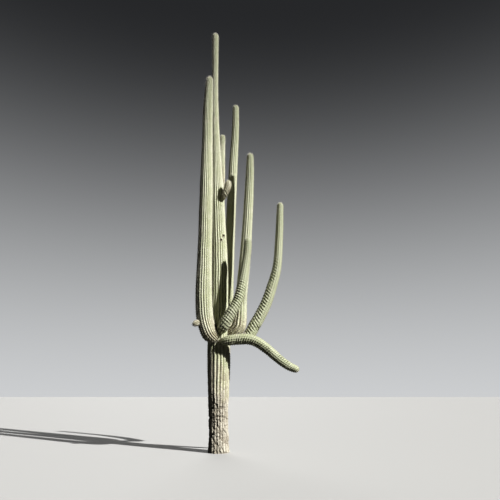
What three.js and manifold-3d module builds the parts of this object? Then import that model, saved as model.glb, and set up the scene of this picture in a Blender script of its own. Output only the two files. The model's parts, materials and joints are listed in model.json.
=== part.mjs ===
// A many-armed saguaro cactus as it stands, in millimetres: +Z up, +X to the right, -Y towards the viewer.
// The origin is the middle of the flat cut at ground level, under the trunk.
import * as THREE from 'three';
import { mergeVertices } from 'three/addons/utils/BufferGeometryUtils.js';
import Module from 'manifold-3d';

const wasm = await Module();
wasm.setup();

const touchGap = 0.3; // between two pieces that meet
const trunkPleat = 0.1; // depth of the grooves between ribs, as a share of the radius
const armPleat = 0.14;
const budPleat = 0.12;
const domeShare = 1.15; // height of a growing tip's dome, as a share of its radius
const domeRings = 3;
const footOverrun = 150; // how far the trunk is drawn below ground before the flat cut
const groundBlock = 2000; // side of the block that makes that cut
const curveSteps = 2000; // for measuring the length of a limb's centre line
const frameSteps = 240; // places along a limb where its frame is worked out
const weldDistance = 0.001; // corners closer than this are one corner

// Each limb's stations run from its foot to its tip: x, y, z of the middle, and the radius over the rib crests.
// splits are the distances along the limb where it is divided into pieces, and rings counts each piece's rings.
const limbs = {
  trunk: {
    ribs: 20,
    pleat: trunkPleat,
    pieces: ['trunk'],
    splits: [],
    rings: [20],
    stations: [
      [0, 0, -footOverrun, 285],
      [-15, 0, 400, 247],
      [-25, 0, 900, 251],
      [-33, 0, 1420, 272],
      [-38, 0, 2200, 297],
      [-46, 0, 2700, 293],
      [-48, 0, 3800, 249],
      [-75, 0, 5000, 228],
      [-125, 0, 6100, 206],
      [-155, 0, 6750, 197],
      [-205, 0, 7950, 143],
      [-262, 0, 9200, 110],
      [-288, 0, 10000, 101],
      [-325, 0, 12370, 102],
    ],
  },
  leftFrontArm: {
    ribs: 16,
    pleat: armPleat,
    pieces: ['left_front_arm_elbow', 'left_front_arm_upright'],
    splits: [1000],
    rings: [8, 8],
    stations: [
      [-110, -110, 2765, 80],
      [-145, -275, 2770, 108],
      [-185, -400, 2805, 165],
      [-248, -450, 2865, 200],
      [-328, -455, 3045, 206],
      [-395, -440, 3330, 214],
      [-432, -440, 3850, 213],
      [-436, -430, 5200, 189],
      [-440, -425, 6900, 180],
      [-448, -425, 8500, 149],
      [-450, -425, 9500, 143],
      [-424, -420, 10488, 98],
    ],
  },
  backArm: {
    ribs: 14,
    pleat: armPleat,
    pieces: ['back_arm_elbow', 'back_arm_upright'],
    splits: [720],
    rings: [6, 6],
    stations: [
      [0, 130, 2850, 85],
      [70, 300, 2900, 105],
      [140, 420, 3120, 132],
      [162, 455, 3600, 138],
      [175, 455, 4600, 138],
      [211, 455, 6250, 138],
      [262, 470, 7800, 132],
      [325, 480, 9300, 113],
      [330, 480, 10094, 100],
    ],
  },
  rightArm: {
    ribs: 14,
    pleat: armPleat,
    pieces: ['right_arm_elbow', 'right_arm_upright'],
    splits: [850],
    rings: [7, 6],
    stations: [
      [120, -20, 2895, 95],
      [235, -50, 2900, 130],
      [355, -80, 2975, 162],
      [472, -95, 3090, 186],
      [502, -100, 3280, 181],
      [540, -100, 3850, 157],
      [640, -100, 4950, 152],
      [708, -100, 6050, 138],
      [766, -100, 7350, 124],
      [784, -100, 8134, 100],
    ],
  },
  outerArm: {
    ribs: 14,
    pleat: armPleat,
    pieces: ['outer_arm_reach', 'outer_arm_sweep', 'outer_arm_upright'],
    splits: [850, 1950],
    rings: [6, 4, 6],
    stations: [
      [60, 100, 2780, 85],
      [230, 220, 2785, 115],
      [480, 290, 2800, 142],
      [700, 300, 2870, 162],
      [890, 310, 3160, 166],
      [1180, 310, 3700, 158],
      [1381, 310, 4250, 145],
      [1528, 310, 4800, 129],
      [1602, 310, 5600, 118],
      [1660, 310, 6761, 100],
    ],
  },
  frontArm: {
    ribs: 14,
    pleat: armPleat,
    pieces: ['front_arm_elbow', 'front_arm_upright'],
    splits: [950],
    rings: [7, 6],
    stations: [
      [10, -110, 3010, 80],
      [25, -300, 2985, 100],
      [50, -430, 3000, 132],
      [110, -530, 3090, 150],
      [289, -600, 3393, 143],
      [458, -600, 3702, 139],
      [559, -600, 4095, 130],
      [640, -600, 4560, 115],
      [705, -600, 5037, 110],
      [722, -600, 5402, 105],
    ],
  },
  droopingArm: {
    ribs: 14,
    pleat: armPleat,
    pieces: ['drooping_arm_arch', 'drooping_arm_end'],
    splits: [1000],
    rings: [7, 6],
    stations: [
      [20, -110, 2690, 85],
      [95, -310, 2685, 110],
      [250, -390, 2708, 130],
      [455, -420, 2732, 136],
      [736, -460, 2728, 137],
      [946, -490, 2660, 136],
      [1175, -530, 2504, 131],
      [1598, -630, 2150, 118],
      [1795, -665, 2030, 106],
      [2000, -700, 1955, 86],
    ],
  },
  forkArm: {
    ribs: 10,
    pleat: armPleat,
    pieces: ['fork_arm'],
    splits: [],
    rings: [7],
    stations: [
      [-130, 60, 7050, 60],
      [-70, 110, 7140, 76],
      [-45, 140, 7400, 84],
      [-45, 140, 8000, 85],
      [-47, 140, 8869, 83],
    ],
  },
  stubArm: {
    ribs: 10,
    pleat: armPleat,
    pieces: ['stub_arm'],
    splits: [],
    rings: [5],
    stations: [
      [-70, -50, 6690, 62],
      [-15, -130, 6705, 80],
      [32, -190, 6745, 92],
      [90, -240, 6860, 101],
      [143, -262, 6990, 104],
      [158, -265, 7080, 103],
      [163, -265, 7213, 97],
    ],
  },
  armBud: {
    ribs: 8,
    pleat: budPleat,
    pieces: ['arm_bud'],
    splits: [],
    rings: [3],
    stations: [
      [-480, -520, 3175, 45],
      [-525, -552, 3155, 64],
      [-578, -590, 3128, 84],
      [-664, -650, 3080, 82],
    ],
  },
};

const finishes = {
  trunkSkin: new THREE.MeshStandardMaterial({ color: 0x8c8f78, roughness: 0.85, metalness: 0 }),
  armSkin: new THREE.MeshStandardMaterial({ color: 0x98a287, roughness: 0.8, metalness: 0 }),
};

// The limb's centre line, its radius and its frame at a distance along it.
function traceLimb(limb) {
  const middles = limb.stations.map(([x, y, z]) => new THREE.Vector3(x, y, z));
  const curve = new THREE.CatmullRomCurve3(middles, false, 'centripetal');
  curve.arcLengthDivisions = curveSteps;
  const length = curve.getLength();
  const frames = curve.computeFrenetFrames(frameSteps, false);
  const lengths = curve.getLengths();
  const spans = limb.stations.length - 1;
  const stationAt = limb.stations.map((_, i) => lengths[Math.round((i * curveSteps) / spans)]);
  const tipRadius = limb.stations[spans][3];
  const domeHeight = domeShare * tipRadius;

  function bareRadius(s) {
    let i = 0;
    while (i < spans - 1 && s > stationAt[i + 1]) i++;
    const t = THREE.MathUtils.clamp((s - stationAt[i]) / (stationAt[i + 1] - stationAt[i]), 0, 1);
    const [before, after] = [limb.stations[i][3], limb.stations[i + 1][3]];
    return THREE.MathUtils.lerp(before, after, THREE.MathUtils.smoothstep(t, 0, 1));
  }

  function radius(s) {
    const below = THREE.MathUtils.clamp((length - s) / domeHeight, 0, 1);
    return bareRadius(s) * Math.sqrt(1 - (1 - below) ** 2);
  }

  function direction(vectors, share) {
    const step = Math.min(Math.floor(share * frameSteps), frameSteps - 1);
    return vectors[step].clone().lerp(vectors[step + 1], share * frameSteps - step).normalize();
  }

  function place(s, side, front) {
    const share = THREE.MathUtils.clamp(s / length, 0, 1);
    return curve
      .getPointAt(share)
      .addScaledVector(direction(frames.normals, share), front)
      .addScaledVector(direction(frames.binormals, share), side);
  }

  return { length, domeHeight, radius, place };
}

// One piece of a limb, from s0 to s1 along it: a lathe profile, pleated into ribs and bent along the limb.
function pieceGeometry(limb, traced, s0, s1, rings, grow) {
  const reachesTip = s1 >= traced.length;
  const top = reachesTip ? traced.length - traced.domeHeight : s1;
  const heights = [];
  for (let i = 0; i <= rings; i++) heights.push(THREE.MathUtils.lerp(s0, top, i / rings));
  if (reachesTip) {
    for (let i = 1; i < domeRings; i++) {
      heights.push(top + traced.domeHeight * Math.sin((i / domeRings) * (Math.PI / 2)));
    }
  }
  const profile = heights.map((s) => new THREE.Vector2(traced.radius(s) + grow, s));
  profile.unshift(new THREE.Vector2(0, s0));
  profile.push(new THREE.Vector2(0, reachesTip ? traced.length + grow : s1));

  const lathe = new THREE.LatheGeometry(profile, 2 * limb.ribs);
  const position = lathe.getAttribute('position');
  for (let i = 0; i < position.count; i++) {
    const isGroove = Math.floor(i / profile.length) % 2;
    const pleat = 1 - limb.pleat * isGroove;
    const s = Math.min(position.getY(i), traced.length);
    const moved = traced.place(s, position.getX(i) * pleat, position.getZ(i) * pleat);
    position.setXYZ(i, moved.x, moved.y, moved.z);
  }
  return lathe;
}

// A closed manifold-3d solid from a three.js geometry.
function solidOf(geometry) {
  const bare = geometry.clone();
  bare.deleteAttribute('normal');
  bare.deleteAttribute('uv');
  const merged = mergeVertices(bare, weldDistance);
  const corners = merged.index.array;
  const kept = [];
  for (let i = 0; i < corners.length; i += 3) {
    const [a, b, c] = corners.subarray(i, i + 3);
    if (a !== b && b !== c && c !== a) kept.push(a, b, c);
  }
  const mesh = new wasm.Mesh({
    numProp: 3,
    vertProperties: merged.getAttribute('position').array,
    triVerts: new Uint32Array(kept),
  });
  mesh.merge();
  return new wasm.Manifold(mesh);
}

// The three.js geometry of a solid, keeping only its largest body.
function geometryOf(solid) {
  const bodies = solid.decompose().sort((a, b) => b.volume() - a.volume());
  const { vertProperties, triVerts } = bodies[0].getMesh();
  const geometry = new THREE.BufferGeometry();
  geometry.setAttribute('position', new THREE.BufferAttribute(vertProperties, 3));
  geometry.setIndex(new THREE.BufferAttribute(triVerts, 1));
  return geometry;
}

// Everything below ground level, as a block to cut the trunk's foot flat.
function groundSolid() {
  const block = new THREE.BoxGeometry(groundBlock, groundBlock, groundBlock);
  return solidOf(block.translate(0, 0, -groundBlock / 2));
}

// A limb's pieces as solids. Those grown by touchGap are the cutters for the limbs that meet it.
function limbSolids(limb, grow = 0) {
  const traced = traceLimb(limb);
  const ends = [0, ...limb.splits, traced.length];
  return limb.pieces.map((_, i) => {
    const s0 = i ? ends[i] + touchGap : 0;
    return solidOf(pieceGeometry(limb, traced, s0, ends[i + 1], limb.rings[i], grow));
  });
}

const saguaro = new THREE.Group();
const cutters = [groundSolid()];
for (const [limbName, limb] of Object.entries(limbs)) {
  limbSolids(limb).forEach((solid, i) => {
    const cut = cutters.reduce((left, cutter) => left.subtract(cutter), solid);
    const skin = limbName === 'trunk' ? finishes.trunkSkin : finishes.armSkin;
    const mesh = new THREE.Mesh(geometryOf(cut), skin);
    mesh.name = limb.pieces[i];
    saguaro.add(mesh);
  });
  cutters.push(...limbSolids(limb, touchGap));
}

export default saguaro;
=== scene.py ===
import json
import math

import bpy
import numpy as np
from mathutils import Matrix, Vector

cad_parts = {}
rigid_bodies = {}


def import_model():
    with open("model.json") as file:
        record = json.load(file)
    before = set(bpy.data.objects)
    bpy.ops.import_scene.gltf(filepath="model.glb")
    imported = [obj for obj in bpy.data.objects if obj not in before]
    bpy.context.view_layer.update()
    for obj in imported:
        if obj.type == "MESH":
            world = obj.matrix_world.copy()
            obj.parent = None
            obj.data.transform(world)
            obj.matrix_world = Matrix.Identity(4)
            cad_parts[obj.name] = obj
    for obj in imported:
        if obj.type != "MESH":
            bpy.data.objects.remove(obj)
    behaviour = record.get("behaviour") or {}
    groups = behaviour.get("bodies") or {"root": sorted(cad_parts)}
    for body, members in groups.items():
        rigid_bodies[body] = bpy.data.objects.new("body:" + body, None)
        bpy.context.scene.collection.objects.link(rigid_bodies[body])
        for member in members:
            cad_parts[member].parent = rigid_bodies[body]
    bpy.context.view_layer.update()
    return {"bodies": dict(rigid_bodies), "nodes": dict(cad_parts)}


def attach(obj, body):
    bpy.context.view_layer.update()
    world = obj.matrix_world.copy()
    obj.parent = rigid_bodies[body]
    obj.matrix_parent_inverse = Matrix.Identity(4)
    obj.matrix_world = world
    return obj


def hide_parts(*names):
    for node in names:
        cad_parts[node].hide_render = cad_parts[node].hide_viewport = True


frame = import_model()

body = next(iter(frame["bodies"]))
print("frame loaded:", len(frame["nodes"]), "nodes on body", body)


# Node trees

noiseMiddle = 0.5        # the value round which a noise swings
tiny = 1e-6              # counts as zero, and keeps a division away from it
apart = 0.001            # a small difference, such as between the ends of a smooth step of no size
xAxis, yAxis, zAxis = (1.0, 0.0, 0.0), (0.0, 1.0, 0.0), (0.0, 0.0, 1.0)


class Field:
    # One output of a node, so that sums on it can be written as plain expressions.
    def __init__(self, graph, socket):
        self.graph = graph
        self.socket = socket

    def output(self, name):
        return Field(self.graph, self.socket.node.outputs[name])

    def __add__(self, other):
        return self.graph.maths("ADD", self, other)

    def __radd__(self, other):
        return self.graph.maths("ADD", other, self)

    def __sub__(self, other):
        return self.graph.maths("SUBTRACT", self, other)

    def __rsub__(self, other):
        return self.graph.maths("SUBTRACT", other, self)

    def __mul__(self, other):
        return self.graph.maths("MULTIPLY", self, other)

    def __rmul__(self, other):
        return self.graph.maths("MULTIPLY", other, self)

    def __truediv__(self, other):
        return self.graph.maths("DIVIDE", self, other)

    def __rtruediv__(self, other):
        return self.graph.maths("DIVIDE", other, self)

    def __pow__(self, other):
        return self.graph.maths("POWER", self, other)

    def __lt__(self, other):
        return self.graph.maths("LESS_THAN", self, other)

    def __gt__(self, other):
        return self.graph.maths("GREATER_THAN", self, other)


class Graph:
    # A node tree that is written as calls: settings are set first, then each socket's value or link.
    def __init__(self, tree):
        self.tree = tree

    def node(self, kind, settings=None, inputs=None, output=None):
        node = self.tree.nodes.new(kind)
        for name, value in (settings or {}).items():
            setattr(node, name, value)
        for name, value in (inputs or {}).items():
            byNumber = isinstance(name, int)
            named = (s for s in node.inputs if s.enabled and s.name == name)
            socket = node.inputs[name] if byNumber else next(named)
            if isinstance(value, Field):
                self.tree.links.new(value.socket, socket)
            else:
                socket.default_value = value
        if not node.outputs:
            return node
        shown = [s for s in node.outputs if s.enabled and output in (None, s.name)]
        return Field(self, shown[0])

    def maths(self, operation, *values):
        return self.node("ShaderNodeMath", {"operation": operation}, dict(enumerate(values)))

    def vector(self, operation, *values):
        return self.node("ShaderNodeVectorMath", {"operation": operation}, dict(enumerate(values)))

    def dot(self, first, second):
        return self.vector("DOT_PRODUCT", first, second).output("Value")

    def size(self, vector):
        return self.vector("LENGTH", vector).output("Value")

    def scaled(self, vector, factor):
        return self.node("ShaderNodeVectorMath", {"operation": "SCALE"}, {0: vector, "Scale": factor})

    def summed(self, *parts):
        total = self.scaled(*parts[0])
        for vector, factor in parts[1:]:
            total = self.vector("ADD", total, self.scaled(vector, factor))
        return total

    def between(self, value, low, high):
        return self.maths("MINIMUM", self.maths("MAXIMUM", value, low), high)

    def smooth(self, value, start, end):
        return self.node(
            "ShaderNodeMapRange", {"interpolation_type": "SMOOTHSTEP"},
            {"Value": value, "From Min": start, "From Max": end, "To Min": 0.0, "To Max": 1.0})

    def blend(self, factor, first, second):
        return self.node(
            "ShaderNodeMix", {"data_type": "RGBA"}, {"Factor": factor, "A": first, "B": second})

    def noise(self, place, scale, detail, stretch=(1.0, 1.0, 1.0), output=None):
        return self.node(
            "ShaderNodeTexNoise", output=output,
            inputs={"Vector": self.vector("MULTIPLY", place, stretch), "Scale": scale, "Detail": detail})

    def random(self, low, high, number, seed):
        return self.node(
            "FunctionNodeRandomValue", {"data_type": "FLOAT"},
            {"Min": low, "Max": high, "ID": number, "Seed": seed})


def startTree(name, sizes):
    tree = bpy.data.node_groups.new(name, "GeometryNodeTree")
    tree.interface.new_socket("Geometry", in_out="INPUT", socket_type="NodeSocketGeometry")
    tree.interface.new_socket("Geometry", in_out="OUTPUT", socket_type="NodeSocketGeometry")
    kinds = {int: "NodeSocketInt", float: "NodeSocketFloat", tuple: "NodeSocketVector"}
    for label, value in sizes.items():
        kind = kinds.get(type(value), "NodeSocketMaterial")
        item = tree.interface.new_socket(label, in_out="INPUT", socket_type=kind)
        if value is not None:
            item.default_value = value
    graph = Graph(tree)
    entry = graph.node("NodeGroupInput")
    return graph, {s.name: Field(graph, s) for s in entry.socket.node.outputs if s.name}


def growPiece(name, centreLine, tree, sizes):
    piece = bpy.data.objects.new(name, centreLine)
    bpy.context.scene.collection.objects.link(piece)
    modifier = piece.modifiers.new("grow", "NODES")
    modifier.node_group = tree
    for item in tree.interface.items_tree:
        if item.in_out == "INPUT" and item.name in sizes:
            modifier[item.identifier] = sizes[item.name]
    evaluated = piece.evaluated_get(bpy.context.evaluated_depsgraph_get())
    grown = bpy.data.meshes.new_from_object(evaluated)
    piece.modifiers.remove(modifier)
    piece.data = grown
    grown.name = name
    return piece


# Limbs
# A limb's skin takes the place of its nodes. Its stations run from its foot to its tip: x, y, z of the
# middle, and the radius over the rib crests. Grooves are a share of that radius. The skin is made in one or
# more lengths: from, to (0 is the tip), columns of faces on a rib, and rows of them.

usualLimb = {
    # what a limb has where its own entry doesn't say
    "pitch": 0.044,          # between two spine cushions on a rib
    "spiral": 2,             # how many pitches the rows of cushions climb in one turn
    "knob": 0.004,           # how far the skin bulges under a cushion
    "wander": 0.010,         # how far a rib strays sideways
    "tuft": 0.022,           # how much lower a tip is than measured, for the spines that stand on it
    "bendGroove": 0.0,       # how much deeper a bend presses the grooves
    "fold": 0.0,             # depth of the creases across the ribs
    "foldEven": 0.0,         # the share of it that doesn't need a bend
    "foldEnd": 20.0,         # how far from the foot the creases end
    # foldPitch and foldSpiral are given where the creases don't follow the cushions
    "bark": 0.0,             # height that the bark reaches
    "relief": 0.0,           # depth of the bark
    "level": 0.0,            # how far up the foot is drawn level, for its flat cut
    "weathered": 1.2,        # how far from the foot the skin looks old
    "young": (0.0, 0.95),    # how green the skin is at the foot and at the tip
    "spineShare": 1.0,       # length of the spines, as a share of the usual one
    "paleShare": 0.45,       # of the clusters of spines. The rest are grey
    "holes": [],             # x, z and radius of woodpecker holes in the near face
}

limbs = {
    "trunk": {
        "nodes": ["trunk"], "ribs": 20, "groove": 0.105, "knob": 0.003, "spiral": 3, "weathered": 3.6,
        "wander": 0.018, "bark": 2.1, "relief": 0.022, "level": 0.3,
        "holes": [(0.052, 5.588, 0.034), (-0.018, 5.457, 0.028)],
        "lengths": [(0.0, 2.5, 12, 250), (2.5, 5.25, 8, 140), (5.25, 5.8, 16, 80), (5.8, 0.0, 8, 290)],
        "stations": [
            (0, 0, 0, 0.272), (-0.015, 0, 0.4, 0.247), (-0.025, 0, 0.9, 0.251), (-0.033, 0, 1.42, 0.272),
            (-0.038, 0, 2.2, 0.297), (-0.046, 0, 2.7, 0.293), (-0.048, 0, 3.8, 0.249),
            (-0.075, 0, 5.0, 0.228), (-0.125, 0, 6.1, 0.206), (-0.155, 0, 6.75, 0.197),
            (-0.205, 0, 7.95, 0.143), (-0.262, 0, 9.2, 0.110), (-0.288, 0, 10.0, 0.101),
            (-0.325, 0, 12.37, 0.102)],
    },
    "left_front_arm": {
        "nodes": ["left_front_arm_elbow", "left_front_arm_upright"], "ribs": 20, "groove": 0.09,
        "bendGroove": 0.6, "knob": 0.006, "fold": 0.004, "spiral": 3, "lengths": [(0.0, 0.0, 6, 560)],
        "stations": [
            (-0.11, -0.11, 2.765, 0.080), (-0.145, -0.275, 2.77, 0.108), (-0.185, -0.4, 2.805, 0.165),
            (-0.248, -0.45, 2.865, 0.200), (-0.328, -0.455, 3.045, 0.206), (-0.395, -0.44, 3.33, 0.214),
            (-0.432, -0.44, 3.85, 0.213), (-0.436, -0.43, 5.2, 0.189), (-0.44, -0.425, 6.9, 0.180),
            (-0.448, -0.425, 8.5, 0.149), (-0.45, -0.425, 9.5, 0.143), (-0.424, -0.42, 10.488, 0.098)],
    },
    "back_arm": {
        "nodes": ["back_arm_elbow", "back_arm_upright"], "ribs": 14, "groove": 0.12, "fold": 0.004,
        "young": (0.12, 0.95), "lengths": [(0.0, 0.0, 6, 460)],
        "stations": [
            (0, 0.13, 2.85, 0.085), (0.07, 0.3, 2.9, 0.105), (0.14, 0.42, 3.12, 0.132),
            (0.162, 0.455, 3.6, 0.138), (0.175, 0.455, 4.6, 0.138), (0.211, 0.455, 6.25, 0.138),
            (0.262, 0.47, 7.8, 0.132), (0.325, 0.48, 9.3, 0.113), (0.33, 0.48, 10.094, 0.100)],
    },
    "right_arm": {
        "nodes": ["right_arm_elbow", "right_arm_upright"], "ribs": 14, "groove": 0.10, "bendGroove": 2.2,
        "pitch": 0.046, "knob": 0.005, "fold": 0.003, "young": (0.12, 0.95),
        "lengths": [(0.0, 0.0, 6, 400)],
        "stations": [
            (0.12, -0.02, 2.895, 0.095), (0.235, -0.05, 2.9, 0.130), (0.355, -0.08, 2.975, 0.162),
            (0.472, -0.095, 3.09, 0.186), (0.502, -0.1, 3.28, 0.181), (0.54, -0.1, 3.85, 0.157),
            (0.64, -0.1, 4.95, 0.152), (0.708, -0.1, 6.05, 0.138), (0.766, -0.1, 7.35, 0.124),
            (0.784, -0.1, 8.134, 0.100)],
    },
    "outer_arm": {
        "nodes": ["outer_arm_reach", "outer_arm_sweep", "outer_arm_upright"], "ribs": 14, "groove": 0.08,
        "pitch": 0.05, "fold": 0.024, "foldPitch": 0.082, "foldSpiral": 6, "foldEnd": 3.1,
        "young": (0.5, 0.85), "spineShare": 0.85, "paleShare": 0.2, "lengths": [(0.0, 0.0, 4, 840)],
        "stations": [
            (0.06, 0.1, 2.78, 0.085), (0.23, 0.22, 2.785, 0.115), (0.48, 0.29, 2.8, 0.142),
            (0.7, 0.3, 2.87, 0.162), (0.89, 0.31, 3.16, 0.166), (1.18, 0.31, 3.7, 0.158),
            (1.381, 0.31, 4.25, 0.145), (1.528, 0.31, 4.8, 0.129), (1.602, 0.31, 5.6, 0.118),
            (1.66, 0.31, 6.761, 0.100)],
    },
    "front_arm": {
        "nodes": ["front_arm_elbow", "front_arm_upright"], "ribs": 14, "groove": 0.07, "pitch": 0.05,
        "fold": 0.020, "foldPitch": 0.066, "foldSpiral": 3, "foldEven": 0.6, "foldEnd": 1.7,
        "weathered": 0.35, "young": (0.5, 0.9), "spineShare": 0.85, "paleShare": 0.2,
        "lengths": [(0.0, 0.0, 4, 560)],
        "stations": [
            (0.01, -0.11, 3.01, 0.080), (0.025, -0.3, 2.985, 0.100), (0.05, -0.43, 3.0, 0.132),
            (0.11, -0.53, 3.09, 0.150), (0.289, -0.6, 3.393, 0.143), (0.458, -0.6, 3.702, 0.139),
            (0.559, -0.6, 4.095, 0.130), (0.64, -0.6, 4.56, 0.115), (0.705, -0.6, 5.037, 0.110),
            (0.722, -0.6, 5.402, 0.105)],
    },
    "drooping_arm": {
        "nodes": ["drooping_arm_arch", "drooping_arm_end"], "ribs": 14, "groove": 0.06, "pitch": 0.048,
        "fold": 0.017, "foldPitch": 0.062, "foldSpiral": 3, "foldEven": 0.25, "weathered": 0.35,
        "young": (0.5, 0.35), "spineShare": 0.65, "paleShare": 0.3, "lengths": [(0.0, 0.0, 4, 500)],
        "stations": [
            (0.02, -0.11, 2.69, 0.085), (0.095, -0.31, 2.685, 0.110), (0.25, -0.39, 2.708, 0.130),
            (0.455, -0.42, 2.732, 0.136), (0.736, -0.46, 2.728, 0.137), (0.946, -0.49, 2.66, 0.136),
            (1.175, -0.53, 2.504, 0.131), (1.598, -0.63, 2.15, 0.118), (1.795, -0.665, 2.03, 0.106),
            (2.0, -0.7, 1.955, 0.086)],
    },
    "fork_arm": {
        "nodes": ["fork_arm"], "ribs": 12, "groove": 0.13, "pitch": 0.042, "knob": 0.003, "fold": 0.002,
        "lengths": [(0.0, 0.0, 6, 140)],
        "stations": [
            (-0.13, 0.06, 7.05, 0.060), (-0.07, 0.11, 7.14, 0.076), (-0.045, 0.14, 7.4, 0.084),
            (-0.045, 0.14, 8.0, 0.085), (-0.047, 0.14, 8.869, 0.083)],
    },
    "stub_arm": {
        "nodes": ["stub_arm"], "ribs": 12, "groove": 0.08, "pitch": 0.046, "fold": 0.022,
        "foldPitch": 0.075, "foldSpiral": 3, "foldEven": 0.8, "foldEnd": 0.5, "young": (0.6, 0.9),
        "paleShare": -0.1, "lengths": [(0.0, 0.0, 4, 130)],
        "stations": [
            (-0.07, -0.05, 6.69, 0.062), (-0.015, -0.13, 6.705, 0.080), (0.032, -0.19, 6.745, 0.092),
            (0.09, -0.24, 6.86, 0.101), (0.143, -0.262, 6.99, 0.104), (0.158, -0.265, 7.08, 0.103),
            (0.163, -0.265, 7.213, 0.097)],
    },
    "arm_bud": {
        "nodes": ["arm_bud"], "ribs": 10, "groove": 0.14, "pitch": 0.034, "knob": 0.003, "tuft": 0.0,
        "young": (0.5, 0.8), "paleShare": -0.2, "lengths": [(0.0, 0.0, 6, 26)],
        "stations": [
            (-0.48, -0.52, 3.175, 0.045), (-0.525, -0.552, 3.155, 0.064), (-0.578, -0.59, 3.128, 0.084),
            (-0.664, -0.65, 3.08, 0.082)],
    },
}

stem = {
    "domeShare": 1.15,       # height of a tip's dome, as a share of its radius
    "domeRows": 12,
    "lineStep": 0.03,        # between two points of a centre line
    "spineAllowance": 0.012, # how far the skin stays inside the measured outline near a tip
    "footAllowance": 0.2,    # the least share of that, near the foot
    "crestPower": 2.1,       # higher gives broader rib crests
    "wanderPattern": (2.6, 2.0),
    "swell": 0.007,          # slow changes of thickness
    "swellPattern": (1.9, 1.0),
    "weld": 0.0001,          # how near two points are merged, along the seam and at the poles
    "sharpAbove": 1.3,       # radians between two faces from which their edge isn't rounded off
    "youngLength": 3.2,      # how much of a tip is young skin, at most, and as a share of the limb
    "youngShare": 0.38,
    "youngFull": 0.1,        # the share of that length where the skin is fully young
}


def centreLineOf(name, limb):
    # A smooth line through the stations, with the radius kept as an attribute of its points.
    rows = np.array(limb["stations"], float)
    rows = np.vstack([2 * rows[0] - rows[1], rows, 2 * rows[-1] - rows[-2]])
    knots = np.sqrt(np.linalg.norm(np.diff(rows[:, :3], axis=0), axis=1))
    points = []
    for i in range(1, len(rows) - 2):
        a, b, c, d = rows[i - 1:i + 3]
        before, here, after = knots[i - 1:i + 2]
        leaving = ((b - a) / before - (c - a) / (before + here) + (c - b) / here) * here
        arriving = ((c - b) / here - (d - b) / (here + after) + (d - c) / after) * here
        steps = max(2, round(np.linalg.norm(c[:3] - b[:3]) / stem["lineStep"]))
        for t in np.arange(steps) / steps:
            points.append(
                (2 * t**3 - 3 * t**2 + 1) * b + (t**3 - 2 * t**2 + t) * leaving
                + (3 * t**2 - 2 * t**3) * c + (t**3 - t**2) * arriving)
    points.append(rows[-2])
    points = np.array(points)
    line = bpy.data.meshes.new(name + "_line")
    line.from_pydata(points[:, :3].tolist(), [(i, i + 1) for i in range(len(points) - 1)], [])
    thickness = line.attributes.new("thickness", "FLOAT", "POINT")
    thickness.data.foreach_set("value", points[:, 3].astype(np.float32))
    return line


holeLabels = ["First hole", "Second hole"]

stemSizes = {
    "Ribs": 14, "Groove": 0.15, "Pitch": 0.045, "Knob": 0.004, "Spiral": 2, "Dome": 0.1,
    "Fold": 0.0, "Fold pitch": 0.05, "Fold spiral": 2, "Fold even": 0.0, "Fold end": 20.0,
    "Wander": 0.01, "Swell": 0.006, "Bark": 0.0, "Relief": 0.0, "Level": 0.0, "Inset": 0.006,
    "Tuft": 0.02, "Bend groove": 0.0,
}
for holeLabel in holeLabels:
    stemSizes[holeLabel] = (0.0, 0.0, -9.0)     # far from any limb
    stemSizes[holeLabel + " radius"] = 0.0


def stemSizesOf(limb):
    tipRadius = limb["stations"][-1][3]
    sizes = {
        "Ribs": limb["ribs"], "Groove": limb["groove"], "Pitch": limb["pitch"], "Knob": limb["knob"],
        "Spiral": limb["spiral"], "Dome": stem["domeShare"] * tipRadius, "Fold": limb["fold"],
        "Fold pitch": limb.get("foldPitch", limb["pitch"]),
        "Fold spiral": limb.get("foldSpiral", limb["spiral"]),
        "Fold even": limb["foldEven"], "Fold end": limb["foldEnd"], "Wander": limb["wander"],
        "Swell": stem["swell"], "Bark": limb["bark"], "Relief": limb["relief"], "Level": limb["level"],
        "Inset": stem["spineAllowance"], "Tuft": limb["tuft"], "Bend groove": limb["bendGroove"],
    }
    for label, (x, z, radius) in zip(holeLabels, limb["holes"]):
        sizes[label] = nearFace(limb, x, z)
        sizes[label + " radius"] = radius
    return sizes


def nearFace(limb, x, z):
    # The point of an upright limb's near side at x and z.
    rows = np.array(limb["stations"], float)
    middleX, middleY, radius = (np.interp(z, rows[:, 2], rows[:, column]) for column in (0, 1, 3))
    return (x, float(middleY - math.sqrt(radius**2 - (x - middleX) ** 2)), z)


def stemReach(g, sizes, line):
    # The length of the skin below the dome, and all of it from foot to pole, over the dome.
    length = g.node("GeometryNodeCurveLength", inputs={"Curve": line})
    straight = length - sizes["Dome"] - sizes["Tuft"]
    return straight, straight + sizes["Dome"] * (math.pi / 2)


def lineSample(g, line, distance):
    # A limb's thickness at a distance along its centre line. Its place and direction are further outputs.
    thickness = g.node(
        "GeometryNodeInputNamedAttribute", {"data_type": "FLOAT"}, {"Name": "thickness"})
    return g.node(
        "GeometryNodeSampleCurve", {"mode": "LENGTH", "data_type": "FLOAT"},
        {"Curves": line, "Value": thickness, "Length": distance}, "Value")


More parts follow.
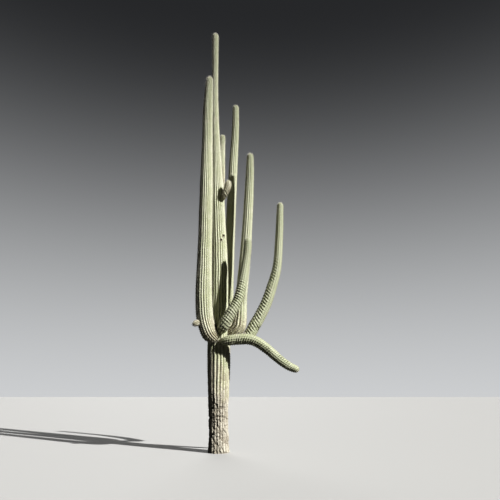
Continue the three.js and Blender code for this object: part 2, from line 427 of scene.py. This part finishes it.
bark = {
    "plates": [
        # plates per metre across, the width of the cracks as a share of a plate, and their depth
        (10.0, 0.13, 0.70),
        (27.0, 0.16, 0.32),
    ],
    "plateStretch": (1.0, 1.0, 0.5),         # a lower last value makes the plates taller
    "plateStray": 0.09,       # how unevenly the plates' edges run, in metres
    "tilt": 0.8,              # how much one plate stands higher than the next
    "wrinkles": 0.9,
    "crust": 0.9,
    "belts": [(1.03, 0.055), (0.83, 0.02)],  # height and half width of bands of broken bark
    "beltEdge": (0.5, 1.2),   # half widths from a band's middle where the bark begins and is whole
    "beltStray": 0.3,         # how unevenly a band runs, in metres
    "beltGaps": (0.40, 0.56), # higher leaves more of a band unbroken
    "ragged": 1.3,            # how unevenly the bark's upper edge runs, in metres
    "crestClimb": 0.25,       # how much higher it runs on the crests than in the grooves, in metres
    "evenCrest": 0.6,         # how far up a rib's side it runs as high as the trunk's entry says
    "fullShare": 0.35,        # the share of its height under which all is bark
    "grooveFill": 0.25,       # how much it fills the grooves
    # scale, detail and, for some, stretch of each pattern
    "edge": (3.4, 3.0, (1.0, 1.0, 0.6)),
    "plateEdge": (12.0, 3.0),
    "beltWave": (2.8, 2.0),
    "beltPatches": (4.5, 2.0),
    "wrinkle": (8.0, 2.0, (1.0, 1.0, 3.2)),
    "crumbs": (30.0, 5.0, (1.0, 1.0, 0.7)),
}


def barkRelief(g, sizes, rough, crest):
    # How far the bark stands out, how corky the skin is and how deep it has cracked.
    def swing(pattern):
        return g.noise(rough, *bark[pattern]) - noiseMiddle

    height = g.dot(rough, zAxis)
    edgeHeight = height + swing("edge") * bark["ragged"] + (bark["evenCrest"] - crest) * bark["crestClimb"]
    cork = g.smooth(edgeHeight, sizes["Bark"] + apart, sizes["Bark"] * bark["fullShare"])
    bent = g.noise(rough, *bark["plateEdge"], output="Color")
    warped = g.vector("MULTIPLY", g.summed((rough, 1.0), (bent, bark["plateStray"])), bark["plateStretch"])
    crack = 0.0
    for cells, crackWidth, depth in bark["plates"]:
        edge = g.node(
            "ShaderNodeTexVoronoi", {"feature": "DISTANCE_TO_EDGE"}, {"Vector": warped, "Scale": cells})
        crack = g.maths("MAXIMUM", crack, (1.0 - g.smooth(edge, 0.0, crackWidth)) * depth)
    widestCells = bark["plates"][0][0]
    cell = g.node(
        "ShaderNodeTexVoronoi", {"feature": "F1"}, {"Vector": warped, "Scale": widestCells}, "Color")
    plate = g.dot(cell, xAxis) - noiseMiddle
    wave = height + swing("beltWave") * bark["beltStray"]
    patchy = g.smooth(g.noise(rough, *bark["beltPatches"]), *bark["beltGaps"])
    for middle, halfWidth in bark["belts"]:
        away = g.maths("ABSOLUTE", wave - middle)
        start, end = (halfWidth * share for share in bark["beltEdge"])
        crack = g.maths("MAXIMUM", crack, patchy * (1.0 - g.smooth(away, start, end)))
    wrinkles = g.maths("ABSOLUTE", swing("wrinkle")) * 2.0
    relief = swing("crumbs") * bark["crust"] + plate * bark["tilt"] + wrinkles * bark["wrinkles"] - crack
    return cork * sizes["Relief"] * relief, cork, crack * cork


creases = {
    "reach": 0.12,           # how far along a limb, either way, its bend is felt
    "bend": (0.0, 0.04),     # how sharp a bend is where creases begin, and where they are full
    "side": (-0.6, 0.3),     # likewise round a bend, from its outer side (-1) to its hollow side (1)
    "pattern": (7.0, 1.0),
    "uneven": 0.5,           # how far they stray, as a share of their pitch
    "tipFade": 0.3,          # metres over which they fade out under a tip
    "endFade": 0.25,         # metres over which they fade, either side of their end
    "strength": 90.0,        # how fast deeper creases level the ribs and take painted shade, up to 1
    "levelling": 0.6,        # how much the deepest ones level the ribs
}


def bendCreases(g, sizes, line, rough, radial, reach, distance, turn, straight):
    # Skin that is pressed together on the hollow side of a bend creases across the ribs.
    ahead = lineSample(g, line, distance + creases["reach"]).output("Tangent")
    behind = lineSample(g, line, g.maths("MAXIMUM", distance - creases["reach"], 0.0)).output("Tangent")
    bend = g.vector("SUBTRACT", ahead, behind)
    bendSize = g.size(bend)
    hollow = g.dot(bend, radial) / (bendSize + tiny)
    pressed = g.smooth(bendSize, *creases["bend"]) * g.smooth(hollow, *creases["side"])
    stray = (g.noise(rough, *creases["pattern"]) - noiseMiddle) * creases["uneven"]
    climb = reach / sizes["Fold pitch"] + turn * sizes["Fold spiral"] + stray
    crease = 1.0 - g.maths("ABSOLUTE", g.maths("COSINE", climb * math.pi))
    underTip = g.smooth(straight - reach, 0.0, creases["tipFade"])
    fold = crease * g.maths("MAXIMUM", pressed, sizes["Fold even"]) * underTip
    return pressed, fold * g.smooth(reach - sizes["Fold end"], creases["endFade"], -creases["endFade"])


def stemSurface(g, sizes, line, reach, turn, crest):
    # Where the skin is at a reach from the foot and a share of a turn round the limb, and how it is there.
    straight, _ = stemReach(g, sizes, line)
    lean = g.between((reach - straight) / sizes["Dome"], 0.0, math.pi / 2)
    distance = g.maths("MINIMUM", reach, straight) + sizes["Dome"] * g.maths("SINE", lean)
    sample = lineSample(g, line, distance)
    centre, along, normal = (sample.output(name) for name in ["Position", "Tangent", "Normal"])
    sideways = g.vector("CROSS_PRODUCT", along, normal)
    angle = turn * math.tau
    radial = g.summed((normal, g.maths("COSINE", angle)), (sideways, g.maths("SINE", angle)))
    around = g.vector("CROSS_PRODUCT", along, radial)
    bare = sample - sizes["Inset"] * g.between(reach / straight, stem["footAllowance"], 1.0)
    rough = g.vector("ADD", centre, g.scaled(radial, bare))

    barkLift, cork, crack = barkRelief(g, sizes, rough, crest)
    pressed, fold = bendCreases(g, sizes, line, rough, radial, reach, distance, turn, straight)
    creased = g.between(sizes["Fold"] * creases["strength"], 0.0, 1.0)
    rib = 1.0 - (1.0 - crest) * (1.0 - pressed * creased * creases["levelling"])
    depth = sizes["Groove"] * (1.0 + pressed * sizes["Bend groove"]) * (1.0 - cork * bark["grooveFill"])
    grooved = bare * (1.0 - depth * (1.0 - rib))
    climb = reach / sizes["Pitch"] + turn * sizes["Spiral"]
    bulge = g.maths("COSINE", climb * math.tau) * 0.5 + 0.5
    knobs = bulge * crest * sizes["Knob"] * (1.0 - cork)
    swelling = (g.noise(rough, *stem["swellPattern"]) - noiseMiddle) * 2.0 * sizes["Swell"]
    lift = knobs - fold * sizes["Fold"] + swelling + barkLift
    stray = g.dot(g.noise(rough, *stem["wanderPattern"], output="Color"), yAxis) - noiseMiddle

    share = g.maths("COSINE", lean)
    full = (grooved + lift) * share
    offset = g.summed((radial, full), (around, stray * 2.0 * sizes["Wander"] * share))
    levelled = g.between((distance + tiny) / (sizes["Level"] + tiny), 0.0, 1.0)
    upright = g.node("ShaderNodeCombineXYZ", inputs={"X": 1.0, "Y": 1.0, "Z": levelled})
    position = g.vector("ADD", centre, g.vector("MULTIPLY", offset, upright))
    facing = g.vector("NORMALIZE", g.summed((radial, share), (along, g.maths("SINE", lean))))
    return {
        "position": position, "facing": facing, "along": along, "share": share, "crest": rib,
        "fold": fold * creased, "cork": cork, "crack": crack}


hole = {
    "pull": 0.5,             # how strongly the mesh is drawn together round a hole
    "pullReach": 0.10,
    "depth": 0.07,
    "edge": (1.05, 0.8),     # radii from its middle where the hole begins and is deepest
    "lip": 0.010,            # height of the healed rim
    "rim": (2.0, 1.3),       # radii from its middle where the rim begins and is highest
    "clear": 2.1,            # how many radii round a hole are free of spines
}


def holeDistance(g, sizes, label, position):
    toHole = g.vector("SUBTRACT", sizes[label], position)
    return toHole, g.size(toHole)


def pierced(g, sizes, skin):
    # The skin with its woodpecker holes, and how far a point is in a hole and on a healed rim.
    position, pit, rim = skin["position"], 0.0, 0.0
    for label in holeLabels:
        radius = sizes[label + " radius"]
        toHole, distance = holeDistance(g, sizes, label, position)
        pull = g.smooth(distance, hole["pullReach"], 0.0) * hole["pull"]
        position = g.vector("ADD", position, g.scaled(toHole, pull))
        nearness = distance * (1.0 - pull) / (radius + tiny)
        inside = g.smooth(nearness, *hole["edge"])
        healed = g.smooth(nearness, *hole["rim"]) * (1.0 - inside)
        push = healed * hole["lip"] - inside * hole["depth"]
        position = g.vector("ADD", position, g.scaled(skin["facing"], push))
        pit, rim = inside + pit, healed + rim
    return position, pit, rim


skinTreeSizes = {
    **stemSizes, "Sides": 6, "Rows": 300, "Dome rows": 12, "From": 0.0, "To": 0.0, "Weathered": 1.0,
    "Young foot": 0.0, "Young tip": 0.85, "Skin": None,
}


def buildSkinTree():
    # A flat grid, from -0.5 to 0.5 each way, is rolled round the limb: across is a turn, upwards are rows.
    g, sizes = startTree("ribbedStem", skinTreeSizes)
    line = g.node("GeometryNodeMeshToCurve", inputs={"Mesh": sizes["Geometry"]})
    columns = sizes["Ribs"] * sizes["Sides"] + 1
    lastRow = 1 + sizes["Rows"] + sizes["Dome rows"]
    sheet = g.node(
        "GeometryNodeMeshGrid",
        inputs={"Size X": 1.0, "Size Y": 1.0, "Vertices X": columns, "Vertices Y": lastRow + 1})
    place = g.node("ShaderNodeSeparateXYZ", inputs={0: g.node("GeometryNodeInputPosition")})
    turn = place + 0.5
    row = g.maths("ROUND", (place.output("Y") + 0.5) * lastRow)
    straight, whole = stemReach(g, sizes, line)
    bodyShare = g.between((row - 1.0) / sizes["Rows"], 0.0, 1.0)
    domeShare = g.between((row - 1.0 - sizes["Rows"]) / sizes["Dome rows"], 0.0, 1.0)
    hasTip = sizes["To"] < tiny
    bodyEnd = straight * hasTip + sizes["To"]
    reach = sizes["From"] + (bodyEnd - sizes["From"]) * bodyShare
    reach = reach + sizes["Dome"] * (math.pi / 2) * domeShare * hasTip

    # From 0 on a rib's crest to 1 in the groove beside it
    fromCrest = g.maths("ABSOLUTE", 2.0 * g.maths("FRACT", turn * sizes["Ribs"] + 0.5) - 1.0)
    crest = 1.0 - fromCrest ** stem["crestPower"]
    skin = stemSurface(g, sizes, line, reach, turn, crest)
    position, pit, rim = pierced(g, sizes, skin)

    # The first row, and the last one where there is no dome, are drawn to the middle and close the skin
    centre = lineSample(g, line, reach).output("Position")
    underLast = g.maths("MINIMUM", lastRow - row, 1.0)
    isSkin = g.maths("MINIMUM", row, 1.0) * g.maths("MAXIMUM", hasTip, underLast)
    closed = g.node(
        "ShaderNodeMix", {"data_type": "VECTOR"}, {"Factor": isSkin, "A": centre, "B": position})
    age = g.smooth(reach, sizes["Weathered"], 0.0)
    youngLength = g.maths("MINIMUM", whole * stem["youngShare"], stem["youngLength"])
    young = g.smooth((whole - reach) / youngLength, 1.0, stem["youngFull"])
    young = sizes["Young foot"] + (sizes["Young tip"] - sizes["Young foot"]) * young
    marked = keptValues(g, sheet, {
        "crest": skin["crest"], "cork": skin["cork"], "crack": skin["crack"], "fold": skin["fold"],
        "age": age, "young": young, "pit": pit, "rim": rim})
    mesh = g.node("GeometryNodeSetPosition", inputs={"Geometry": marked, "Position": closed})
    mesh = g.node("GeometryNodeMergeByDistance", inputs={"Geometry": mesh, "Distance": stem["weld"]})
    slope = g.node("GeometryNodeInputMeshEdgeAngle", output="Unsigned Angle")
    for domain, isSmooth in [("EDGE", slope < stem["sharpAbove"]), ("FACE", True)]:
        mesh = g.node(
            "GeometryNodeSetShadeSmooth", {"domain": domain}, {"Geometry": mesh, "Shade Smooth": isSmooth})
    finishTree(g, mesh, sizes["Skin"])
    return g.tree


def keptValues(g, geometry, values):
    for name, value in values.items():
        geometry = g.node(
            "GeometryNodeStoreNamedAttribute", {"data_type": "FLOAT", "domain": "POINT"},
            {"Geometry": geometry, "Name": name, "Value": value})
    return geometry


def finishTree(g, mesh, material):
    mesh = g.node("GeometryNodeRealizeInstances", inputs={"Geometry": mesh})
    mesh = g.node("GeometryNodeSetMaterial", inputs={"Geometry": mesh, "Material": material})
    g.node("NodeGroupOutput", inputs={0: mesh})


# Spines and their cushions

spines = {
    "each": 14,            # in one cluster
    "length": 0.034,
    "width": 0.0018,
    "sides": 3,
    "sunk": 0.003,         # how deep their feet are in the skin
    "central": 2,          # of a cluster's spines stand in its middle
    "centralLean": 0.35,   # how much they lean, as a share of the others' lean
    "centralLonger": 0.3,
    "turn": 2.39996,       # radians from one spine of a cluster to the next, the golden angle
    "clusterTurn": 1.7,    # radians from one cluster to the next
    "tipLength": 0.9,      # how much of a limb's tip has young spines, which are longer and paler
    "tipLonger": 0.25,
    "tipPaler": 0.5,
    "tipCrowding": (2.4, 0.12),   # how late clusters thin out on a dome, and the share left at its pole
    "bareBelow": 0.9,      # height under which the trunk has lost its spines
    "thinBelow": 2.4,      # at how many times that height they reach their full number
    "wornLength": 0.45,    # length of the most worn ones, as a share
}

cushion = {
    "width": 0.016,
    "longer": 1.35,        # how many times as long as wide, along the rib
    "height": 0.35,        # as a share of the width, and so is how deep it is in the skin
    "sunk": 0.125,
    "sides": 5,
}

draws = {
    # what each random value adds to the seed, and its lowest and highest
    "pale": (0, 0.0, 1.0),
    "lean": (1, 0.85, 1.42),          # radians
    "bearing": (2, 0.0, 1.6),         # radians
    "cushionWidth": (3, 0.8, 1.25),
    "length": (4, 0.6, 1.15),
    "width": (5, 0.8, 1.2),
    "grown": (7, 0.0, 1.0),
}

spineTreeSizes = {
    **stemSizes, "Each": 12, "Length": 0.04, "Width": 0.0026, "Pale share": 0.5, "Kind": 0,
    "Bare below": 0.0, "Seed": 1, "Material": None,
}


def draw(g, sizes, name, number):
    added, low, high = draws[name]
    return g.random(low, high, number, sizes["Seed"] + added)


def cone(g, sides):
    # One metre wide and high, so that a copy's scale is its size.
    return g.node(
        "GeometryNodeMeshCone", {"fill_type": "NGON"},
        {"Vertices": sides, "Radius Top": 0.0, "Radius Bottom": 0.5, "Depth": 1.0})


def cushionCopies(g, sizes, skin, cluster):
    # A felt cushion, and the size, turn and root of each copy.
    width = sizes["Width"] * draw(g, sizes, "cushionWidth", cluster)
    size = g.node("ShaderNodeCombineXYZ", inputs={
        "X": width * cushion["longer"], "Y": width, "Z": width * cushion["height"]})
    rotation = g.node(
        "FunctionNodeAxesToRotation", {"primary_axis": "Z", "secondary_axis": "X"},
        {"Primary Axis": skin["facing"], "Secondary Axis": skin["along"]})
    inwards = g.scaled(skin["facing"], sizes["Width"] * -cushion["sunk"])
    return cone(g, cushion["sides"]), size, rotation, g.vector("ADD", skin["position"], inwards)


def spineCopies(g, sizes, skin, cluster, spine, number, lasting, young):
    # A spine, and the size, turn and root of each copy.
    facing, along = skin["facing"], skin["along"]
    sideways = g.vector("CROSS_PRODUCT", along, facing)
    isCentral = spine < spines["central"]
    lean = draw(g, sizes, "lean", number)
    opening = isCentral * (lean * spines["centralLean"]) + (1.0 - isCentral) * lean
    bearing = spine * spines["turn"] + draw(g, sizes, "bearing", number) + cluster * spines["clusterTurn"]
    flat = g.maths("SINE", opening)
    direction = g.summed(
        (facing, g.maths("COSINE", opening)), (along, flat * g.maths("COSINE", bearing)),
        (sideways, flat * g.maths("SINE", bearing)))
    longer = 1.0 + isCentral * spines["centralLonger"]
    worn = spines["wornLength"] + (1.0 - spines["wornLength"]) * lasting
    length = sizes["Length"] * draw(g, sizes, "length", number) * longer
    length = length * worn * (1.0 + spines["tipLonger"] * young)
    width = sizes["Width"] * draw(g, sizes, "width", number)
    size = g.node("ShaderNodeCombineXYZ", inputs={"X": width, "Y": width, "Z": length})
    rotation = g.node("FunctionNodeAlignRotationToVector", {"axis": "Z"}, {"Vector": direction})
    root = g.vector("ADD", skin["position"], g.scaled(facing, -spines["sunk"]))
    return cone(g, spines["sides"]), size, rotation, root


def buildSpineTree(cushions):
    # Clusters are counted rib by rib and row by row, and spines cluster by cluster.
    g, sizes = startTree("spineCushions" if cushions else "spineClusters", spineTreeSizes)
    line = g.node("GeometryNodeMeshToCurve", inputs={"Mesh": sizes["Geometry"]})
    _, whole = stemReach(g, sizes, line)
    perRib = g.maths("FLOOR", whole / sizes["Pitch"])
    each = 1 if cushions else sizes["Each"]
    points = g.node("GeometryNodePoints", inputs={"Count": perRib * sizes["Ribs"] * each})
    number = g.node("GeometryNodeInputIndex")
    cluster = g.maths("FLOOR", (number + 0.5) / each)
    row = g.maths("FLOOR", (cluster + 0.5) / sizes["Ribs"])
    turn = (cluster - row * sizes["Ribs"]) / sizes["Ribs"]
    reach = (row + 1.0 - g.maths("FRACT", turn * sizes["Spiral"])) * sizes["Pitch"]
    skin = stemSurface(g, sizes, line, reach, turn, 1.0)

    height = g.dot(skin["position"], zAxis)
    lasting = g.smooth(height, sizes["Bare below"] - apart, sizes["Bare below"] * spines["thinBelow"])
    late, leastShare = spines["tipCrowding"]
    crowding = g.between(skin["share"] * late, leastShare, 1.0)
    kept = draw(g, sizes, "grown", cluster) < lasting * crowding
    for label in holeLabels:
        _, distance = holeDistance(g, sizes, label, skin["position"])
        kept = kept * (distance > sizes[label + " radius"] * hole["clear"])
    if cushions:
        shape, size, rotation, root = cushionCopies(g, sizes, skin, cluster)
    else:
        young = g.smooth(reach, whole - spines["tipLength"], whole)
        pale = draw(g, sizes, "pale", cluster) < sizes["Pale share"] + young * spines["tipPaler"]
        kept = kept * g.maths("COMPARE", pale, 1.0 - sizes["Kind"], apart)
        spine = number - cluster * each
        shape, size, rotation, root = spineCopies(g, sizes, skin, cluster, spine, number, lasting, young)
    points = g.node("GeometryNodeSetPosition", inputs={"Geometry": points, "Position": root})
    copies = g.node("GeometryNodeInstanceOnPoints", inputs={
        "Points": points, "Selection": kept, "Instance": shape, "Rotation": rotation, "Scale": size})
    finishTree(g, copies, sizes["Material"])
    return g.tree


# Materials

def newMaterial(name):
    material = bpy.data.materials.new(name)
    material.use_nodes = True
    material.node_tree.nodes.clear()
    return material, Graph(material.node_tree)


def finishMaterial(g, sockets):
    shader = g.node("ShaderNodeBsdfPrincipled", inputs=sockets)
    g.node("ShaderNodeOutputMaterial", inputs={"Surface": shader})


skinColours = {
    "crest": (0.485, 0.495, 0.35, 1.0),
    "mossy": (0.415, 0.435, 0.27, 1.0),
    "young": (0.255, 0.28, 0.16, 1.0),
    "groove": (0.41, 0.42, 0.28, 1.0),
    # near black: painted shade in the creases across the ribs
    "crease": (0.06, 0.06, 0.03, 1.0),
    "bloom": (0.585, 0.59, 0.46, 1.0),
    "scar": (0.36, 0.29, 0.19, 1.0),
    "weathered": (0.55, 0.525, 0.38, 1.0),
    "stained": (0.25, 0.215, 0.14, 1.0),
    "corkPale": (0.60, 0.56, 0.46, 1.0),
    "corkDark": (0.31, 0.27, 0.20, 1.0),
    # near black: painted shade in the cork's grooves and cracks
    "corkShade": (0.11, 0.09, 0.065, 1.0),
    # near black: painted shade inside the woodpecker holes, over their dark brown lining
    "hollow": (0.020, 0.015, 0.010, 1.0),
}

skinPatterns = {
    # scale, detail and, for some, stretch
    "drift": (0.9, 2.0),
    "patches": (5.0, 5.0),
    "streaks": (38.0, 3.0, (1.0, 1.0, 0.08)),
    "mottling": (10.0, 3.0, (1.0, 1.0, 0.35)),
    "grain": (120.0, 4.0),
    "specks": (17.0, 2.0),
}

skinMarks = {
    # strength, where the mark begins and is full, and the weight of each value that it follows
    "mossy": (1.0, 0.35, 0.65, [1.0]),
    "bloom": (0.6, 0.40, 0.68, [1.0]),
    "weathered": (1.0, 0.1, 0.7, [1.0, 1.4]),
    "stained": (1.0, 0.56, 0.68, [0.6, 0.25, 0.2]),
    "mottled": (0.55, 0.53, 0.64, [1.0, 0.15]),
    "old": (1.0, 0.0, 0.3, [1.0]),
    "groove": (1.0, 0.6, 0.0, [1.0]),
    # painted shade in the creases, stronger where they are deeper
    "crease": (1.0, 0.25, 0.9, [1.0]),
    "streaked": (0.3, 0.6, 0.75, [1.0]),
    "scarred": (1.0, 0.70, 0.76, [1.0]),
    "corkPale": (1.0, 0.36, 0.60, [0.5, 0.5]),
    "cork": (1.0, 0.2, 0.8, [1.0, 1.6, 0.8]),
}

skinFinishes = {
    "grooveShade": 0.8,   # how dark the cork is between the ribs and in its cracks, as painted shade, and on a hole's rim
    "crackShade": 0.85,
    "rimCork": 0.8,
    "corkGrain": 2.0,        # how much rougher cork feels than flesh
    "corkStreaks": 2.5,
    "bumpStrength": 0.4,
    "bumpDistance": 0.004,
    "roughness": 0.5,
    "corkRougher": 0.4,
    "patchesRougher": 0.1,
}


def makeSkin(name):
    material, g = newMaterial(name)
    here = g.node("ShaderNodeTexCoord", output="Object")
    kept = {
        label: g.node("ShaderNodeAttribute", {"attribute_name": label}, output="Fac")
        for label in ["crest", "cork", "crack", "fold", "age", "young", "pit", "rim"]}
    crest, age = kept["crest"], kept["age"]
    drift, patches, streaks, mottling, grain, specks = (
        g.noise(here, *skinPatterns[label])
        for label in ["drift", "patches", "streaks", "mottling", "grain", "specks"])
    patchy, speckled = patches - noiseMiddle, specks - noiseMiddle

    def mark(label, *values):
        strength, start, full, weights = skinMarks[label]
        total = values[0] * weights[0]
        for value, weight in zip(values[1:], weights[1:]):
            total = total + value * weight
        return g.smooth(total, start, full) * strength

    def layered(colour, *layers):
        for shade, mask in layers:
            colour = g.blend(mask, colour, skinColours[shade])
        return colour

    # Green flesh: darker in the grooves, waxy on the crests, with old scars, and painted shade in the
    # creases
    flesh = layered(
        skinColours["crest"],
        ("mossy", mark("mossy", drift)),
        ("bloom", mark("bloom", patches) * crest),
        ("young", kept["young"]),
        ("weathered", mark("weathered", age, patchy)),
        ("stained", mark("stained", specks, age, streaks)),
        ("stained", mark("mottled", mottling, age) * mark("old", age)),
        ("groove", mark("groove", crest)),
        # painted shade in the creases
        ("crease", mark("crease", kept["fold"])),
        ("scar", mark("streaked", streaks)),
        ("scar", mark("scarred", specks)))

    # Grey-brown cork near the ground, with painted shade in its grooves and cracks
    corky = layered(
        skinColours["corkDark"],
        ("corkPale", mark("corkPale", grain, patches)),
        # painted shade between the ribs and in the cracks
        ("corkShade", (1.0 - crest) ** 2.0 * skinFinishes["grooveShade"]),
        ("corkShade", kept["crack"] * skinFinishes["crackShade"]))

    corkMask = mark("cork", kept["cork"], patchy, speckled)
    colour = layered(
        g.blend(corkMask, flesh, corky),
        ("corkDark", g.between(kept["rim"], 0.0, 1.0) * skinFinishes["rimCork"]),
        # painted shade inside the woodpecker holes
        ("hollow", g.between(kept["pit"], 0.0, 1.0)))
    height = grain * (1.0 + corkMask * skinFinishes["corkGrain"])
    height = height + corkMask * streaks * skinFinishes["corkStreaks"]
    relief = g.node("ShaderNodeBump", inputs={
        "Strength": skinFinishes["bumpStrength"], "Distance": skinFinishes["bumpDistance"],
        "Height": height})
    roughness = skinFinishes["roughness"] + corkMask * skinFinishes["corkRougher"]
    roughness = roughness + patches * skinFinishes["patchesRougher"]
    finishMaterial(g, {"Base Color": colour, "Roughness": roughness, "Normal": relief})
    return material


spineColours = {
    "pale_spines": (0.58, 0.555, 0.465, 1.0),
    "grey_spines": (0.36, 0.33, 0.28, 1.0),
    "felt_cushions": (0.42, 0.38, 0.30, 1.0),
}

spineDust = {
    "pattern": (60.0, 2.0),
    "bumpStrength": 0.2,
    "bumpDistance": 0.001,
    "roughness": 0.55,
    "rougher": 0.3,
}


def makeSpineFinish(name):
    material, g = newMaterial(name)
    dust = g.noise(g.node("ShaderNodeTexCoord", output="Object"), *spineDust["pattern"])
    relief = g.node("ShaderNodeBump", inputs={
        "Strength": spineDust["bumpStrength"], "Distance": spineDust["bumpDistance"], "Height": dust})
    roughness = spineDust["roughness"] + dust * spineDust["rougher"]
    finishMaterial(g, {"Base Color": spineColours[name], "Roughness": roughness, "Normal": relief})
    return material


# The plant

skinFinish = makeSkin("cactus_skin")
spineFinishes = {name: makeSpineFinish(name) for name in spineColours}
skinTree = buildSkinTree()
spineTree = buildSpineTree(cushions=False)
cushionTree = buildSpineTree(cushions=True)
firstSeed, seedStep = 20, 10


def own(piece, nodes=()):
    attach(piece, body)
    if nodes:
        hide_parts(*nodes)


def growSkin(name, limb, centreLine, sizes):
    youngFoot, youngTip = limb["young"]
    faces = 0
    for number, (start, end, sides, rows) in enumerate(limb["lengths"], 1):
        skin = growPiece(f"{name}_skin_{number}", centreLine, skinTree, {
            **sizes, "Weathered": limb["weathered"], "Young foot": youngFoot, "Young tip": youngTip,
            "Skin": skinFinish, "From": start, "To": end, "Sides": sides, "Rows": rows,
            "Dome rows": 1 if end else stem["domeRows"]})
        own(skin, limb["nodes"])
        faces += len(skin.data.polygons)
    return faces


def growSpines(name, limb, centreLine, sizes, seed):
    clusterSizes = {
        **sizes, "Each": spines["each"], "Length": spines["length"] * limb["spineShare"],
        "Width": spines["width"], "Pale share": limb["paleShare"], "Bare below": spines["bareBelow"],
        "Seed": seed}
    faces = 0
    for kind, finish in enumerate(["pale_spines", "grey_spines"]):
        coat = growPiece(f"{name}_{finish}", centreLine, spineTree, {
            **clusterSizes, "Kind": kind, "Material": spineFinishes[finish]})
        own(coat)
        faces += len(coat.data.polygons)
    pads = growPiece(f"{name}_cushions", centreLine, cushionTree, {
        **clusterSizes, "Width": cushion["width"], "Material": spineFinishes["felt_cushions"]})
    own(pads)
    return faces


for index, (name, entry) in enumerate(limbs.items()):
    limb = {**usualLimb, **entry}
    centreLine = centreLineOf(name, limb)
    sizes = stemSizesOf(limb)
    skinFaces = growSkin(name, limb, centreLine, sizes)
    spineFaces = growSpines(name, limb, centreLine, sizes, firstSeed + index * seedStep)
    print("limb grown:", name, "with", skinFaces, "faces of skin and", spineFaces, "of spines")


# Studio: floor, light and camera

studio = {
    "floorSize": 120.0,
    "floorColour": (0.42, 0.415, 0.40, 1.0),
    "floorGlow": (0.012, 0.012, 0.011, 1.0),   # how the plant sees the floor, so that its shade stays deep
    "floorRoughness": 0.9,
    "fillColour": (0.85, 0.93, 1.0, 1.0),
    "fillStrength": 0.014,
    "backdropLow": (0.56, 0.57, 0.58, 1.0),
    "backdropHigh": (0.027, 0.028, 0.030, 1.0),
    "backdropRange": (-0.15, 0.68),            # from where to where it darkens: 0 is level, 1 straight up
    "lamps": {
        # where each is, seen from the plant, its strength and its spread in degrees
        "key": ((0.671, -0.470, 0.574), 6.6, 1.0),
        "back": ((-0.14, 0.93, 0.34), 1.2, 40.0),
    },
}


def makeFloor():
    half = studio["floorSize"] / 2
    corners = [(-half, -half, 0), (half, -half, 0), (half, half, 0), (-half, half, 0)]
    plate = bpy.data.meshes.new("floor")
    plate.from_pydata(corners, [], [(0, 1, 2, 3)])
    floor = bpy.data.objects.new("floor", plate)
    bpy.context.scene.collection.objects.link(floor)
    material, g = newMaterial("floor_paint")
    isSeen = g.node("ShaderNodeLightPath", output="Is Camera Ray")
    paint = g.blend(isSeen, studio["floorGlow"], studio["floorColour"])
    finishMaterial(g, {"Base Color": paint, "Roughness": studio["floorRoughness"]})
    plate.materials.append(material)


def makeLights():
    for name, (place, strength, spread) in studio["lamps"].items():
        lamp = bpy.data.lights.new(name, "SUN")
        lamp.energy = strength
        lamp.angle = math.radians(spread)
        light = bpy.data.objects.new(name, lamp)
        light.rotation_euler = Vector(place).to_track_quat("Z", "Y").to_euler()
        bpy.context.scene.collection.objects.link(light)


def makeBackdrop():
    # Pale near the floor and darker above for the camera, and a weak even glow for the plant.
    world = bpy.data.worlds.new("studio")
    world.use_nodes = True
    world.node_tree.nodes.clear()
    g = Graph(world.node_tree)
    direction = g.node("ShaderNodeTexCoord", output="Generated")
    height = g.node("ShaderNodeSeparateXYZ", inputs={0: direction}, output="Z")
    darkness = g.smooth(height, *studio["backdropRange"])
    shown = g.blend(darkness, studio["backdropLow"], studio["backdropHigh"])
    isSeen = g.node("ShaderNodeLightPath", output="Is Camera Ray")
    colour = g.blend(isSeen, studio["fillColour"], shown)
    strength = studio["fillStrength"] + isSeen * (1.0 - studio["fillStrength"])
    glow = g.node("ShaderNodeBackground", inputs={"Color": colour, "Strength": strength})
    g.node("ShaderNodeOutputWorld", inputs={"Surface": glow})
    bpy.context.scene.world = world
    bpy.context.scene.view_settings.view_transform = "Standard"
    bpy.context.scene.view_settings.look = "Medium High Contrast"


camera = {
    "place": (0.774, -12.849, 1.6),
    "tilt": 15.73,        # degrees above level
    "lens": 34.63,
    "sensor": 36.0,
    "sight": 500.0,       # how far it sees, in metres
}


def makeCamera():
    data = bpy.data.cameras.new("camera")
    data.lens = camera["lens"]
    data.sensor_width = camera["sensor"]
    data.clip_end = camera["sight"]
    eye = bpy.data.objects.new("camera", data)
    eye.location = camera["place"]
    eye.rotation_euler = (math.radians(90 + camera["tilt"]), 0, 0)
    bpy.context.scene.collection.objects.link(eye)
    bpy.context.scene.camera = eye


makeFloor()
makeLights()
makeBackdrop()
makeCamera()
print("studio ready")
